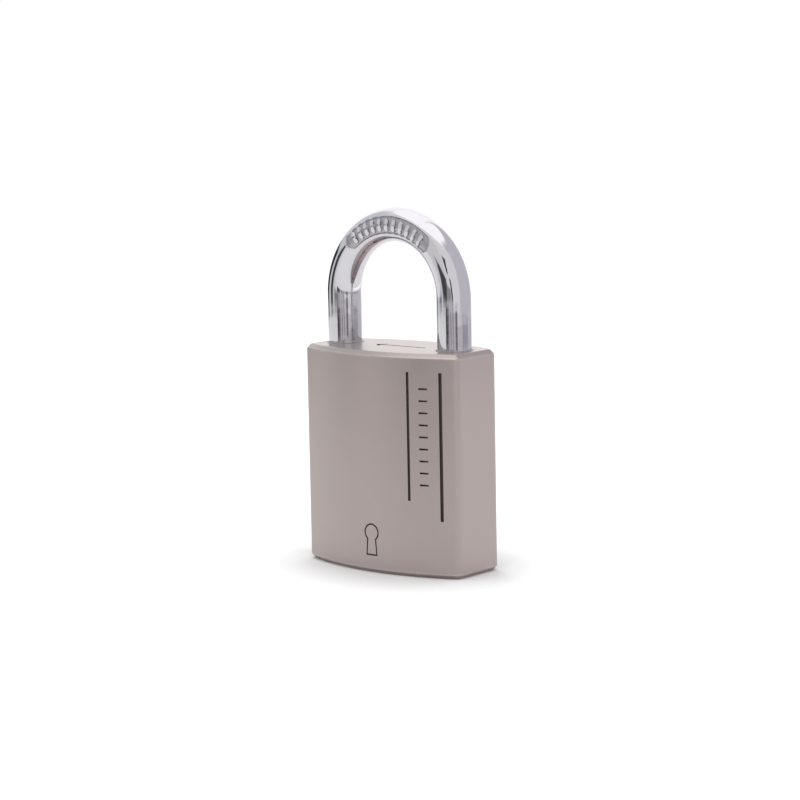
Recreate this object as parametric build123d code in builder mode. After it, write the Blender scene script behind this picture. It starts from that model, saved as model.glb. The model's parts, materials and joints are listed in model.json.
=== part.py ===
"""Solid-body padlock with a round-bar shackle, two locking balls and a six-pin cylinder.

The lock stands on its base. The origin is the middle of the base, +Z is up and -Y is the
front. The toe leg of the shackle is on -X and the heel leg on +X. Lengths are millimetres.
The shackle is pushed home and the plug stands at its open quarter, so both balls are drawn in.
"""
import math
import os

from build123d import *

# ---------------------------------------------------------------- sizes

# Body block: crowned front and back, flat sides
body_width = 50.0
body_depth = 26.5
side_depth = 15.4
body_height = 56.0
body_edge_chamfer = 1.1
body_corner_radius = 2.2

# Shackle
shackle_diameter = 8.8
side_wall = 2.3
leg_rise = 12.8
toe_depth = 14.5
lift_travel = 16.5
notch_depth = 2.0
neck_land = 2.0
collar_length = 3.0
leg_end_chamfer = 0.8
hole_mouth_chamfer = 0.35

# Curved panel sunk into the front of the bow, with plain raised ribs
panel_sweep = 80.0
panel_width = 4.4
panel_sink = 0.45
panel_rib_count = 11
panel_rib_width = 1.1
panel_rib_length = 3.4

# Balls
ball_diameter = 7.0
ball_depth = 8.5

# Cylinder: shell, plug and pins
face_recess = 0.4
cylinder_length = 30.0
plug_diameter = 11.0
flange_width = 0.7
flange_thickness = 1.2
bible_width = 8.0
back_wall = 2.3
pin_count = 6
pin_diameter = 2.6
pin_pitch = 4.2
first_pin = 4.8
driver_pin_length = 2.5
key_pin_lengths = [3.4, 4.3, 3.7, 4.6, 3.2, 4.0]
pin_tip_chamfer = 0.7
strip_thickness = 0.5
strip_width = 3.6
pin_spring_wire = 0.3
pin_spring_turns = 4

# Keyway
keyway_width = 2.0
keyway_depth = 7.6
keyway_step = 0.5
keyway_margin = 1.1

# Rear of the plug and the rotor
clip_thickness = 0.8
clip_width = 3.6
clip_groove_depth = 0.8
boss_diameter = 8.0
boss_end_length = 0.7
tang_width = 2.6
tang_span = 6.4
tang_length = 3.4
rotor_rim = 1.4
rotor_foot = 5.2
waist_depth = 2.2

# Pins driven in from the back, and the hard pins in the cylinder's face
retaining_pin_diameter = 2.5
retaining_pin_overlap = 1.2
cylinder_pin_level = 21.0
drill_pin_diameter = 1.6
drill_pin_length = 8.0
drill_pin_spread = 62.0
drill_pin_rim = 0.2

# Shackle spring
spring_wire = 0.9
spring_turns = 6
spring_floor = 4.5

# Marks cut into the top and front
mark_depth = 0.3
arrow_width = 0.7
arrow_tip_x = -7.0
arrow_length = 15.8
arrow_head = 1.8
rule_thin = 0.7
rule_thick = 0.8
rule_top_margin = 4.5
rule_side_margin = 4.1
rule_spacing = 8.4
rule_left_length = 32.2
rule_right_length = 37.0
dash_count = 9
dash_width = 0.45
dash_length = 2.6
dash_pitch = 3.0
emblem_x = 1.0
emblem_level = 8.5
emblem_ring = 1.9
emblem_foot = 2.8
emblem_height = 7.4
emblem_line = 0.4

# Clearances
running_clearance = 0.05
roll_clearance = 0.1
seat_clearance = 0.02
end_float = 0.1
free_gap = 0.3

# ---------------------------------------------------------------- places worked out from the sizes

leg_radius = shackle_diameter / 2
leg_hole_radius = leg_radius + free_gap
leg_x = body_width / 2 - side_wall - leg_hole_radius
spring_line = body_height + leg_rise
toe_end = body_height - toe_depth

ball_radius = ball_diameter / 2
ball_level = body_height - ball_depth
ball_open_x = leg_x - leg_hole_radius - ball_radius
ball_locked_x = leg_x - leg_radius + notch_depth - ball_radius
cross_bore_radius = ball_radius + roll_clearance

retaining_pin_radius = retaining_pin_diameter / 2
neck_radius = leg_radius - notch_depth - free_gap
neck_top = ball_level - ball_radius - free_gap - neck_land
shackle_pin_level = neck_top - free_gap - retaining_pin_radius
shackle_pin_x = leg_x - neck_radius - free_gap - retaining_pin_radius
collar_top = shackle_pin_level - retaining_pin_radius - free_gap - lift_travel
heel_end = collar_top - collar_length

rotor_radius = ball_locked_x - ball_radius - running_clearance
rotor_bore_radius = rotor_radius + roll_clearance
rotor_top = ball_level + ball_radius + rotor_rim
rotor_bore_top = rotor_top + free_gap
drum_bottom = ball_level - ball_radius - rotor_rim

plug_radius = plug_diameter / 2
plug_bore_radius = plug_radius + running_clearance
flange_radius = plug_radius + flange_width
least_shell_radius = flange_radius + running_clearance + drill_pin_diameter + 2 * drill_pin_rim
shell_radius = max(rotor_bore_radius - running_clearance, least_shell_radius)
shell_bore_radius = shell_radius + running_clearance
shell_top = face_recess + cylinder_length
bible_top = body_depth / 2 - back_wall
pin_radius = pin_diameter / 2
chamber_radius = pin_radius + running_clearance
pin_levels = [face_recess + first_pin + i * pin_pitch for i in range(pin_count)]
strip_bottom = bible_top - strip_thickness
driver_bottom = plug_bore_radius
driver_top = driver_bottom + driver_pin_length
key_pin_top = math.sqrt(plug_radius**2 - pin_radius**2) - running_clearance

clip_bottom = shell_top + end_float
clip_top = clip_bottom + clip_thickness
boss_radius = boss_diameter / 2
clip_bore_radius = boss_radius - clip_groove_depth
clip_radius = clip_bore_radius + clip_width
boss_end = clip_top + boss_end_length
rotor_bottom = boss_end + end_float
foot_top = rotor_bottom + rotor_foot

face_sagitta = (body_depth - side_depth) / 2
face_radius = ((body_width / 2) ** 2 + face_sagitta**2) / (2 * face_sagitta)


def face_y(x):
    """Distance from the middle plane to the crowned face at x."""
    return math.sqrt(face_radius**2 - x**2) - face_radius + body_depth / 2


os.makedirs("parts", exist_ok=True)

# ---------------------------------------------------------------- body

cylinder_pin_x = -shell_radius
cylinder_pin_z = face_recess + cylinder_pin_level
retaining_pins = [
    (shackle_pin_x, shackle_pin_level, leg_hole_radius),
    (cylinder_pin_x, cylinder_pin_z, shell_radius / 2),
]

with BuildPart() as body:
    with BuildSketch() as outline:
        with BuildLine():
            corners = [(side * body_width / 2, side_depth / 2) for side in (-1, 1)]
            back = ThreePointArc(corners[0], (0, body_depth / 2), corners[1])
            mirror(back, about=Plane.XZ)
            for x, y in corners:
                Line((x, y), (x, -y))
        make_face()
        fillet(outline.vertices(), body_corner_radius)
    extrude(amount=body_height)
    rims = body.edges().group_by(Axis.Z)
    chamfer(rims[0] + rims[-1], body_edge_chamfer)

    # Leg holes: the toe's is shallow, the heel's also holds the spring
    for x, floor in ((-leg_x, toe_end - free_gap), (leg_x, spring_floor)):
        with BuildSketch(Plane.XY.offset(floor)):
            with Locations((x, 0)):
                Circle(leg_hole_radius)
        extrude(amount=body_height - floor, mode=Mode.SUBTRACT)
    mouths = body.faces().sort_by(Axis.Z)[-1].inner_wires().edges()
    chamfer(mouths, hole_mouth_chamfer)

    # Bores for the rotor and for the round part of the shell
    for radius, top in ((rotor_bore_radius, rotor_bore_top), (shell_bore_radius, boss_end)):
        with BuildSketch():
            Circle(radius)
        extrude(amount=top, mode=Mode.SUBTRACT)

    # Slot for the shell's bible
    with BuildSketch():
        with Locations((0, bible_top / 2)):
            Rectangle(bible_width + 2 * seat_clearance, bible_top + 2 * seat_clearance)
    extrude(amount=shell_top + seat_clearance, mode=Mode.SUBTRACT)

    # Cross bore for the balls, drilled from the toe side into the heel hole
    with BuildSketch(Plane.YZ.offset(-body_width / 2)):
        with Locations((0, ball_level)):
            Circle(cross_bore_radius)
    extrude(amount=body_width / 2 + leg_x, mode=Mode.SUBTRACT)

    # Blind holes for the two retaining pins, drilled from the back
    for x, level, reach in retaining_pins:
        with BuildSketch(Plane.XZ.offset(reach + retaining_pin_overlap)):
            with Locations((x, level)):
                Circle(retaining_pin_radius + seat_clearance)
        extrude(amount=-(body_depth / 2 + reach + retaining_pin_overlap), mode=Mode.SUBTRACT)

    # Arrow on the top, pointing from the heel to the toe
    arrow_tail_x = arrow_tip_x + arrow_length
    with BuildSketch(Plane.XY.offset(body_height)):
        with BuildLine() as arrow_shaft:
            Line((arrow_tip_x, 0), (arrow_tail_x, 0))
        trace(line_width=arrow_width)
        with BuildLine():
            head_base = arrow_tip_x + arrow_head
            Polyline((head_base, arrow_head), (arrow_tip_x, 0), (head_base, -arrow_head))
        trace(line_width=arrow_width)
    extrude(amount=-mark_depth, mode=Mode.SUBTRACT)

    # Two upright rules on the front, with a column of plain dashes between them
    rule_top = body_height - rule_top_margin
    rule_right_x = body_width / 2 - rule_side_margin
    rule_left_x = rule_right_x - rule_spacing
    rules = [
        (rule_left_x, rule_thin, rule_left_length),
        (rule_right_x, rule_thick, rule_right_length),
    ]
    for x, width, length in rules:
        with BuildSketch(Plane.XZ.offset(face_y(x) - mark_depth)):
            with Locations((x, rule_top - length / 2)):
                Rectangle(width, length)
        extrude(amount=2 * mark_depth, mode=Mode.SUBTRACT)
    dash_x = (rule_left_x + rule_right_x) / 2
    with BuildSketch(Plane.XZ.offset(face_y(dash_x) - mark_depth)):
        with Locations((dash_x, rule_top - rule_left_length / 2)):
            with GridLocations(1, dash_pitch, 1, dash_count):
                Rectangle(dash_length, dash_width)
    extrude(amount=2 * mark_depth, mode=Mode.SUBTRACT)

    # Outline of a plain keyhole low on the front
    with BuildSketch(Plane.XZ.offset(face_y(emblem_x) - mark_depth)):
        with Locations((emblem_x, emblem_level)):
            for grow, mode in ((emblem_line, Mode.ADD), (0, Mode.SUBTRACT)):
                ring_z = emblem_height / 2 - emblem_ring
                foot_z = -emblem_height / 2
                neck_half = emblem_ring / 2 + grow
                foot_half = emblem_foot / 2 + grow
                with Locations((0, ring_z)):
                    Circle(emblem_ring + grow, mode=mode)
                with BuildLine(mode=Mode.PRIVATE) as keyhole_skirt:
                    Polyline(
                        (-neck_half, ring_z),
                        (-foot_half, foot_z - grow),
                        (foot_half, foot_z - grow),
                        (neck_half, ring_z),
                        close=True,
                    )
                skirt = make_face(keyhole_skirt.edges(), mode=Mode.PRIVATE)
                add(skirt, mode=mode)
    extrude(amount=2 * mark_depth, mode=Mode.SUBTRACT)

body.part.label = "body"
export_step(body.part, "parts/body.step")

# ---------------------------------------------------------------- shackle

# Curved slot of the bow's panel, less the bar under it and the ribs that stand in it
panel_half = math.radians(panel_sweep / 2)
panel_end = Vector(leg_x * math.sin(panel_half), leg_x * math.cos(panel_half))
with BuildPart() as panel_cut:
    with BuildSketch(Plane(origin=(0, 0, spring_line), x_dir=(1, 0, 0), z_dir=(0, -1, 0))):
        with BuildLine() as panel_line:
            ThreePointArc((-panel_end.X, panel_end.Y), (0, leg_x), (panel_end.X, panel_end.Y))
        SlotArc(panel_line.edge(), panel_width)
        for i in range(panel_rib_count):
            turn = panel_sweep * ((i + 0.5) / panel_rib_count - 0.5)
            angle = math.radians(turn)
            spot = (leg_x * math.sin(angle), leg_x * math.cos(angle))
            with Locations(Location(spot, -turn)):
                SlotOverall(panel_rib_length, panel_rib_width, rotation=90, mode=Mode.SUBTRACT)
    extrude(amount=shackle_diameter)
    with Locations(Location((0, 0, spring_line), (90, 0, 0))):
        Torus(leg_x, leg_radius - panel_sink, mode=Mode.SUBTRACT)

with BuildPart() as shackle:
    with BuildLine(Plane.XZ) as bar_line:
        Line((leg_x, heel_end), (leg_x, spring_line))
        ThreePointArc((leg_x, spring_line), (0, spring_line + leg_x), (-leg_x, spring_line))
        Line((-leg_x, spring_line), (-leg_x, toe_end))
    with BuildSketch(Plane.XY.offset(heel_end)):
        with Locations((leg_x, 0)):
            Circle(leg_radius)
    sweep(path=bar_line.wire())
    ends = shackle.edges().filter_by(GeomType.CIRCLE).filter_by(Plane.XY)
    chamfer(ends.filter_by_position(Axis.Z, 0, spring_line - leg_end_chamfer), leg_end_chamfer)

    # Neck on the heel leg, which runs past the retaining pin as the shackle lifts
    with BuildSketch(Plane.XY.offset(collar_top)):
        with Locations((leg_x, 0)):
            Circle(leg_radius + free_gap)
            Circle(neck_radius, mode=Mode.SUBTRACT)
    extrude(amount=neck_top - collar_top, mode=Mode.SUBTRACT)

    # One round notch for each ball
    with Locations((-ball_locked_x, 0, ball_level), (ball_locked_x, 0, ball_level)):
        Sphere(ball_radius + free_gap, mode=Mode.SUBTRACT)

    add(panel_cut.part, mode=Mode.SUBTRACT)

shackle.part.label = "shackle"
export_step(shackle.part, "parts/shackle.step")

# Spring under the heel leg, between the bottom of its hole and the leg's end
spring_length = heel_end - spring_floor
spring_radius = neck_radius + spring_wire / 2
spring_rise = spring_length - spring_wire - 2 * end_float
with BuildPart() as shackle_spring:
    spring_start = spring_floor + spring_wire / 2 + end_float
    with BuildLine() as spring_coil:
        Helix(
            pitch=spring_rise / spring_turns,
            height=spring_rise,
            radius=spring_radius,
            center=(leg_x, 0, spring_start),
        )
    with BuildSketch(Plane(spring_coil.edge() @ 0, z_dir=spring_coil.edge() % 0)):
        Circle(spring_wire / 2)
    sweep(path=spring_coil.edge())

shackle_spring.part.label = "shackle_spring"
export_step(shackle_spring.part, "parts/shackle_spring.step")

# ---------------------------------------------------------------- balls

for name, side in (("toe_ball", -1), ("heel_ball", 1)):
    with BuildPart() as ball:
        with Locations((side * ball_open_x, 0, ball_level)):
            Sphere(ball_radius)
    ball.part.label = name
    export_step(ball.part, f"parts/{name}.step")

# ---------------------------------------------------------------- rotor

# A turned drum with a waist, two cam recesses for the balls and a slot for the plug's tang
recess_radius = ball_radius + roll_clearance
recess_mid = (ball_open_x + ball_locked_x) / 2 / math.sqrt(2)
with BuildPart() as rotor:
    with BuildSketch(Plane.XY.offset(rotor_bottom)):
        Circle(rotor_radius)
    extrude(amount=rotor_top - rotor_bottom)
    with BuildSketch(Plane.XY.offset(foot_top)):
        Circle(rotor_radius + free_gap)
        Circle(rotor_radius - waist_depth, mode=Mode.SUBTRACT)
    extrude(amount=drum_bottom - foot_top, mode=Mode.SUBTRACT)
    with BuildSketch(Plane.XY.offset(rotor_bottom)):
        Rectangle(tang_span + 2 * roll_clearance, tang_width + 2 * roll_clearance)
    extrude(amount=tang_length + free_gap, mode=Mode.SUBTRACT)

    # Each recess starts deep at its ball and runs out a quarter turn on
    with BuildLine(Plane.XY.offset(ball_level)) as recess_line:
        ThreePointArc((ball_open_x, 0), (recess_mid, recess_mid), (0, ball_locked_x))
    for turn in (0, 180):
        path = recess_line.edge().rotate(Axis.Z, turn)
        with BuildSketch(Plane(path @ 0, z_dir=path % 0)):
            Circle(recess_radius)
        sweep(path=path, mode=Mode.SUBTRACT)
        with Locations(path @ 0, path @ 1):
            Sphere(recess_radius, mode=Mode.SUBTRACT)

rotor.part.label = "rotor"
export_step(rotor.part, "parts/rotor.step")

# ---------------------------------------------------------------- cylinder shell

chamber_plane = Plane.XZ.offset(-plug_radius / 2)
with BuildPart() as cylinder_shell:
    with BuildSketch(Plane.XY.offset(face_recess)):
        Circle(shell_radius)
        with Locations((0, bible_top / 2)):
            Rectangle(bible_width, bible_top)
        Circle(plug_bore_radius, mode=Mode.SUBTRACT)
    extrude(amount=cylinder_length)
    with BuildSketch(Plane.XY.offset(face_recess)):
        Circle(flange_radius + running_clearance)
    extrude(amount=flange_thickness + end_float, mode=Mode.SUBTRACT)

    # Pin chambers, and the groove for the strip that closes them
    with BuildSketch(chamber_plane):
        for level in pin_levels:
            with Locations((0, level)):
                Circle(chamber_radius)
    extrude(amount=-(bible_top - plug_radius / 2), mode=Mode.SUBTRACT)
    strip_length = (pin_count - 1) * pin_pitch + 2 * chamber_radius + strip_thickness
    strip_level = (pin_levels[0] + pin_levels[-1]) / 2
    with BuildSketch(Plane.XZ.offset(-strip_bottom)):
        with Locations((0, strip_level)):
            Rectangle(strip_width, strip_length)
    extrude(amount=-strip_thickness, mode=Mode.SUBTRACT)

    # Holes for the hard pins, each side of the bible, and the notch for the retaining pin
    drill_pin_radius = drill_pin_diameter / 2
    drill_pin_ring = (flange_radius + running_clearance + shell_radius) / 2
    drill_pin_spots = []
    for side in (-1, 1):
        angle = math.radians(90 + side * drill_pin_spread)
        spot = (drill_pin_ring * math.cos(angle), drill_pin_ring * math.sin(angle))
        drill_pin_spots.append(spot)
    with BuildSketch(Plane.XY.offset(face_recess)):
        with Locations(*drill_pin_spots):
            Circle(drill_pin_radius + seat_clearance)
    extrude(amount=drill_pin_length, mode=Mode.SUBTRACT)
    with BuildSketch(Plane.XZ):
        with Locations((cylinder_pin_x, cylinder_pin_z)):
            Circle(retaining_pin_radius + seat_clearance)
    extrude(amount=body_depth / 2, both=True, mode=Mode.SUBTRACT)

cylinder_shell.part.label = "cylinder_shell"
export_step(cylinder_shell.part, "parts/cylinder_shell.step")

with BuildPart() as anti_drill_pins:
    with BuildSketch(Plane.XY.offset(face_recess)):
        with Locations(*drill_pin_spots):
            Circle(drill_pin_radius)
    extrude(amount=drill_pin_length)

anti_drill_pins.part.label = "anti_drill_pins"
export_step(anti_drill_pins.part, "parts/anti_drill_pins.step")

with BuildPart() as chamber_strip:
    with BuildSketch(Plane.XZ.offset(-strip_bottom)):
        with Locations((0, strip_level)):
            Rectangle(strip_width, strip_length)
    extrude(amount=-strip_thickness)

chamber_strip.part.label = "chamber_strip"
export_step(chamber_strip.part, "parts/chamber_strip.step")

# ---------------------------------------------------------------- plug

with BuildPart() as plug:
    for radius, bottom, top in (
        (flange_radius, face_recess, face_recess + flange_thickness),
        (plug_radius, face_recess, clip_bottom),
        (clip_bore_radius, clip_bottom, clip_top),
        (boss_radius, clip_top, boss_end),
    ):
        with BuildSketch(Plane.XY.offset(bottom)):
            Circle(radius)
        extrude(amount=top - bottom)
    with BuildSketch(Plane.XY.offset(boss_end)):
        Rectangle(tang_span, tang_width)
    extrude(amount=tang_length)

    # Stepped keyway, open on the pin side, and the lower ends of the pin chambers
    key_half = keyway_width / 2
    key_near = keyway_margin - plug_radius
    key_mid = key_near + keyway_depth / 2
    key_far = key_near + keyway_depth
    keyway_top = shell_top - first_pin / 2
    with BuildSketch(Plane.XY.offset(face_recess)):
        with BuildLine():
            Polyline(
                (key_near, -key_half),
                (key_mid, -key_half),
                (key_mid, -key_half - keyway_step),
                (key_far, -key_half - keyway_step),
                (key_far, key_half - keyway_step),
                (key_mid, key_half - keyway_step),
                (key_mid, key_half),
                (key_near, key_half),
                close=True,
            )
        make_face()
    extrude(amount=keyway_top - face_recess, mode=Mode.SUBTRACT)
    with BuildSketch(Plane.YZ):
        for level in pin_levels:
            with Locations((0, level)):
                Circle(chamber_radius)
    extrude(amount=-plug_radius, mode=Mode.SUBTRACT)

plug.part.label = "plug"
export_step(plug.part, "parts/plug.step")

with BuildPart() as plug_clip:
    with BuildSketch(Plane.XY.offset(clip_bottom)):
        Circle(clip_radius)
        Circle(clip_bore_radius + seat_clearance, mode=Mode.SUBTRACT)
        with Locations((0, -clip_radius)):
            Rectangle(clip_bore_radius, 2 * clip_radius, mode=Mode.SUBTRACT)
    extrude(amount=clip_thickness)

plug_clip.part.label = "plug_clip"
export_step(plug_clip.part, "parts/plug_clip.step")

# ---------------------------------------------------------------- pin stacks

spring_room = strip_bottom - driver_top
pin_spring_radius = pin_radius - running_clearance - pin_spring_wire / 2
pin_spring_rise = spring_room - pin_spring_wire - 2 * running_clearance
for i, level in enumerate(pin_levels):
    with BuildPart() as key_pin:
        length = key_pin_lengths[i]
        with BuildSketch(Plane.YZ.offset(-key_pin_top)):
            with Locations((0, level)):
                Circle(pin_radius)
        extrude(amount=length)
        chamfer(key_pin.edges().group_by(Axis.X)[-1], pin_tip_chamfer)
    key_pin.part.label = f"key_pin_{i + 1}"
    export_step(key_pin.part, f"parts/key_pin_{i + 1}.step")

    with BuildPart() as driver_pin:
        with BuildSketch(Plane.XZ.offset(-driver_bottom)):
            with Locations((0, level)):
                Circle(pin_radius)
        extrude(amount=-driver_pin_length)
    driver_pin.part.label = f"driver_pin_{i + 1}"
    export_step(driver_pin.part, f"parts/driver_pin_{i + 1}.step")

    with BuildPart() as pin_spring:
        coil_start = driver_top + pin_spring_wire / 2 + running_clearance
        with BuildLine() as pin_coil:
            Helix(
                pitch=pin_spring_rise / pin_spring_turns,
                height=pin_spring_rise,
                radius=pin_spring_radius,
                center=(0, coil_start, level),
                direction=(0, 1, 0),
            )
        with BuildSketch(Plane(pin_coil.edge() @ 0, z_dir=pin_coil.edge() % 0)):
            Circle(pin_spring_wire / 2)
        sweep(path=pin_coil.edge())
    pin_spring.part.label = f"pin_spring_{i + 1}"
    export_step(pin_spring.part, f"parts/pin_spring_{i + 1}.step")

# ---------------------------------------------------------------- pins and plug set in the body

for (x, level, reach), name in zip(retaining_pins, ("shackle_pin", "cylinder_pin")):
    with BuildPart() as retaining_pin:
        pin_foot = reach + retaining_pin_overlap - seat_clearance
        pin_head = face_y(abs(x) + retaining_pin_radius) - seat_clearance
        with BuildSketch(Plane.XZ.offset(pin_foot)):
            with Locations((x, level)):
                Circle(retaining_pin_radius)
        extrude(amount=-(pin_foot + pin_head))
    retaining_pin.part.label = name
    export_step(retaining_pin.part, f"parts/{name}.step")

with BuildPart() as cross_bore_plug:
    with BuildSketch(Plane.YZ.offset(-body_width / 2)):
        with Locations((0, ball_level)):
            Circle(cross_bore_radius - seat_clearance)
    extrude(amount=body_width / 2 - leg_x - leg_hole_radius)

cross_bore_plug.part.label = "cross_bore_plug"
export_step(cross_bore_plug.part, "parts/cross_bore_plug.step")
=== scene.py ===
"""Looks for the solid-body padlock: satin body, chromed shackle and the works inside.

Everything is in metres in the frame of the CAD model. The lock stands on its base with its
front towards -Y, the toe leg on -X and the heel leg on +X.
"""
import json
import math

import bpy
import numpy as np
from mathutils import Matrix, Vector


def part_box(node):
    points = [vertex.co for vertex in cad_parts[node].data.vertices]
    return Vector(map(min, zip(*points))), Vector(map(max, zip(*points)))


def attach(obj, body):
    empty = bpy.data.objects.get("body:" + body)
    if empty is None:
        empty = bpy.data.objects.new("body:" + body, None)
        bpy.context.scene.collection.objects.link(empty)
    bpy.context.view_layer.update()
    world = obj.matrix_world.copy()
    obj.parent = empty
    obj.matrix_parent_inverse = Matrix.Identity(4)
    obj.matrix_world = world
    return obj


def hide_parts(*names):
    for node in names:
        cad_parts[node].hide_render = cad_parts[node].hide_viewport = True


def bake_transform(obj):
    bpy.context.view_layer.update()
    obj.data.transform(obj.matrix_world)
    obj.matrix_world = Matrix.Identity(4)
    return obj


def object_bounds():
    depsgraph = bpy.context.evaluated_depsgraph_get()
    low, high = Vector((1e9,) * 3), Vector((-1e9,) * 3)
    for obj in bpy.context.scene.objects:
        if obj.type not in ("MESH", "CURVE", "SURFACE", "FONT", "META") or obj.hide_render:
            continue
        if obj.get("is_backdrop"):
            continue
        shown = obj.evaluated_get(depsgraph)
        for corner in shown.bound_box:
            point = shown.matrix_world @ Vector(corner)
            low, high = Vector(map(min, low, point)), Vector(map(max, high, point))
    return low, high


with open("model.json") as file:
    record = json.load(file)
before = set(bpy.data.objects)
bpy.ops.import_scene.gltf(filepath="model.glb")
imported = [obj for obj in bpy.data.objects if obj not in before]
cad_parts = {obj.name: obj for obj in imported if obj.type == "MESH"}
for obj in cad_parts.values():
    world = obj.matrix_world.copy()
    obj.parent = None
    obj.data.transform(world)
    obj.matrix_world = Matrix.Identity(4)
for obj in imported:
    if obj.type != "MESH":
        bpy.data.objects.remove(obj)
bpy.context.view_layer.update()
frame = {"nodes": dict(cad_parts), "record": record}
MM = 0.001

# ---------------------------------------------------------------- camera
# A long lens, a little above the lock and to its right, held with a slight tilt. The aim is
# a point inside the lock, high above the middle of the base.
camera_turn = math.radians(40.276)
camera_climb = math.radians(7.903)
camera_tilt = math.radians(-1.075)
camera_distance = 620.17 * MM
camera_aim = Vector((-1.218, 1.411, 41.929)) * MM
lens_length = 109.776

backward = Vector((
    math.sin(camera_turn) * math.cos(camera_climb),
    -math.cos(camera_turn) * math.cos(camera_climb),
    math.sin(camera_climb),
))
level_right = Vector((math.cos(camera_turn), math.sin(camera_turn), 0))
level_up = backward.cross(level_right)
tilted_right = math.cos(camera_tilt) * level_right + math.sin(camera_tilt) * level_up
tilted_up = backward.cross(tilted_right)
lens = bpy.data.cameras.new("camera")
lens.lens = lens_length
lens.clip_start, lens.clip_end = 0.05, 50
camera = bpy.data.objects.new("camera", lens)
camera.matrix_world = Matrix.Translation(camera_aim + backward * camera_distance) @ Matrix(
    (tilted_right, tilted_up, backward)
).transposed().to_4x4()
bpy.context.scene.collection.objects.link(camera)
bpy.context.scene.camera = camera
bpy.context.scene.view_settings.view_transform = "Standard"

# ---------------------------------------------------------------- studio
# A white sweep under and behind the lock, with soft lights overhead, behind its left and at its
# right. Cards and screens stand round it, out of view, for the metal to reflect.


class Wire:
    """One socket of a node tree. A sign between wires or numbers adds the Math node for it."""

    def __init__(self, socket):
        self.socket = socket

    def node(self, kind, settings=None, values=(), out=0):
        """Adds a node: its settings first, then a value or a wire for each socket that is
        named in values, or for its live sockets in order. Returns the wire of its output."""
        tree = self.socket.id_data
        made = tree.nodes.new(kind)
        for name, value in (settings or {}).items():
            if name == "stops":
                stops = made.color_ramp.elements
                while len(stops) < len(value):
                    stops.new(0.5)
                for stop, (place, colour) in zip(stops, value):
                    stop.position, stop.color = place, colour
            else:
                setattr(made, name, value)
        live = [s for s in made.inputs if s.enabled]
        if isinstance(values, dict):
            pairs = [(next(s for s in live if s.name == name), v) for name, v in values.items()]
        else:
            pairs = zip(live, values)
        for socket, value in pairs:
            if isinstance(value, Wire):
                tree.links.new(value.socket, socket)
            elif value is not None:
                socket.default_value = value
        shown = [s for s in made.outputs if s.enabled]
        return Wire(shown[out])

    def also(self, name):
        """The wire of another output of the same node."""
        return Wire(self.socket.node.outputs[name])

    def math(self, operation, *values):
        return self.node("ShaderNodeMath", {"operation": operation}, values)

    def __add__(self, other):
        return self.math("ADD", self, other)

    def __sub__(self, other):
        return self.math("SUBTRACT", self, other)

    def __rsub__(self, other):
        return self.math("SUBTRACT", other, self)

    def __mul__(self, other):
        return self.math("MULTIPLY", self, other)

    __radd__ = __add__
    __rmul__ = __mul__

    def blend(self, low, high):
        """The colour low where this wire is 0 and high where it is 1."""
        names = {"Factor": self, "A": low, "B": high}
        return self.node("ShaderNodeMix", {"data_type": "RGBA"}, names)


def shade(owner, kind, output_name, make):
    """Empties the owner's node tree, then fills it from what make does with the wire of the
    first node's named output. What make returns goes to the owner's surface."""
    owner.use_nodes = True
    tree = owner.node_tree
    tree.nodes.clear()
    world_owner = isinstance(owner, bpy.types.World)
    output = tree.nodes.new("ShaderNodeOutput" + ("World" if world_owner else "Material"))
    first = tree.nodes.new(kind)
    shader = make(Wire(first.outputs[output_name]))
    tree.links.new(shader.socket, output.inputs["Surface"])
    return owner


white = (1, 1, 1, 1)
room_level = 0.72
floor_colour = (0.9, 0.9, 0.9, 1)
eye_lift, mirror_lift, shadow_reach = 0.38, 0.08, 0.03


def room_sky(camera_ray):
    """Plain white to the eye and in reflections, and a softer white as the light of the room."""
    shown = camera_ray.math("MAXIMUM", camera_ray, camera_ray.also("Is Glossy Ray"))
    shown = shown.math("MAXIMUM", shown, camera_ray.also("Is Transmission Ray"))
    lighting = shown.node("ShaderNodeBackground", None, [white, room_level])
    backdrop = shown.node("ShaderNodeBackground", None, [white, 1.0])
    return shown.node("ShaderNodeMixShader", None, [shown, lighting, backdrop])


def sweep_paint(camera_ray):
    """Matt white with a glow that lifts it to full white for the eye and in reflections. The
    glow fades close to the lock, so the soft shadow under its edges stays."""
    open_share = camera_ray.node(
        "ShaderNodeAmbientOcclusion", {"samples": 12}, {"Distance": shadow_reach}
    ).also("AO")
    mirrored = camera_ray.also("Is Glossy Ray") + camera_ray.also("Is Transmission Ray")
    clear = open_share.math("MAXIMUM", open_share * 2 - 1, 0.0)
    lift = camera_ray * clear * clear * eye_lift + mirrored * (clear * mirror_lift + 0.05)
    matt = lift.node("ShaderNodeBsdfDiffuse", None, [floor_colour])
    glow = lift.node("ShaderNodeEmission", None, {"Color": lift})
    return lift.node("ShaderNodeAddShader", None, [matt, glow])


world = bpy.data.worlds.new("studio")
bpy.context.scene.world = world
world.cycles.sampling_method = "NONE"
shade(world, "ShaderNodeLightPath", "Is Camera Ray", room_sky)


def new_piece(name, points, faces):
    """A mesh object whose corners are the rows of points, in millimetres."""
    mesh = bpy.data.meshes.new(name)
    mesh.from_pydata((np.asarray(points, float) * MM).tolist(), [], faces)
    mesh.polygons.foreach_set("use_smooth", np.ones(len(faces), bool))
    made = bpy.data.objects.new(name, mesh)
    bpy.context.scene.collection.objects.link(made)
    return made


floor_half = 6000.0
floor = new_piece(
    "floor",
    np.array([(-1, -1, 0), (1, -1, 0), (1, 1, 0), (-1, 1, 0)]) * floor_half,
    [(0, 1, 2, 3)],
)
floor_paint = bpy.data.materials.new("floor_paint")
floor.data.materials.append(
    shade(floor_paint, "ShaderNodeLightPath", "Is Camera Ray", sweep_paint)
)
floor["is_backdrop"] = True


lamp_aim = Vector((0, 0, 0.05))


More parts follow.
